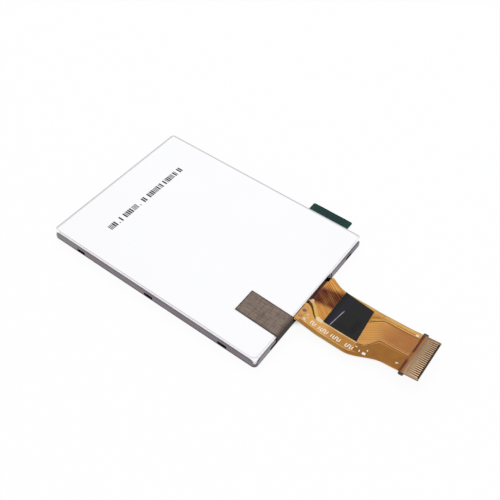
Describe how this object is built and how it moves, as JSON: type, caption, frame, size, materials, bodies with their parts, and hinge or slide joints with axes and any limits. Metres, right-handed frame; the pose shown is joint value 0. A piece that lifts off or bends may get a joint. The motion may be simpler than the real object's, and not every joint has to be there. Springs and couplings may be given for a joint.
{
  "type": "tft display module",
  "caption": "Small colour TFT display module with metal bezel, backlight and flex tail, lying on its screen with its white back up.",
  "frame": {"origin": "middle of the module's front face, on the surface it lies on; the flex tail and the pull tab are not counted in that middle", "axes": "+X along the long side towards the flex tail, +Y along the short side towards the pull tab, +Z out of the back"},
  "size_m": [0.0846, 0.0464, 0.0032],
  "materials": {
    "clear_film": "clear protective film",
    "green_tape": "green adhesive tape",
    "stainless": "rolled stainless sheet",
    "polariser": "dark polarising film",
    "cell_glass": "display glass",
    "silicon": "bare chip",
    "white_plastic": "white moulded polycarbonate",
    "black_tape": "black film tape",
    "light_film": "translucent optical film",
    "light_guide": "clear acrylic",
    "reflector": "white reflector film",
    "lamp_plastic": "lamp body",
    "polyimide": "amber flexible circuit",
    "copper": "copper under amber film",
    "gold": "gold-plated contact",
    "stiffener": "black stiffener",
    "ceramic": "chip capacitor",
    "solder": "solder",
    "woven_tape": "plated woven tape"
  },
  "bodies": {
    "root": {"protective_film": "clear_film", "film_pull_tab": "green_tape", "metal_bezel": "stainless", "front_polariser": "polariser", "colour_filter_glass": "cell_glass", "tft_glass": "cell_glass", "rear_polariser": "polariser", "driver_chip": "silicon", "backlight_frame": "white_plastic", "rim_tape": "black_tape", "prism_film_upper": "light_film", "prism_film_lower": "light_film", "diffuser_film": "light_film", "light_guide": "light_guide", "reflector_sheet": "reflector", "led_flex": "polyimide", "main_flex": "polyimide", "flex_traces": "copper", "contact_fingers": "gold", "flex_stiffener": "stiffener", "insulating_tape": "black_tape", "solder_joints": "solder", "grounding_tape": "woven_tape", "led_1": "lamp_plastic", "led_2": "lamp_plastic", "led_3": "lamp_plastic", "led_4": "lamp_plastic", "led_5": "lamp_plastic", "capacitor_1": "ceramic", "capacitor_2": "ceramic", "capacitor_3": "ceramic", "capacitor_4": "ceramic"}
  },
  "joints": []
}
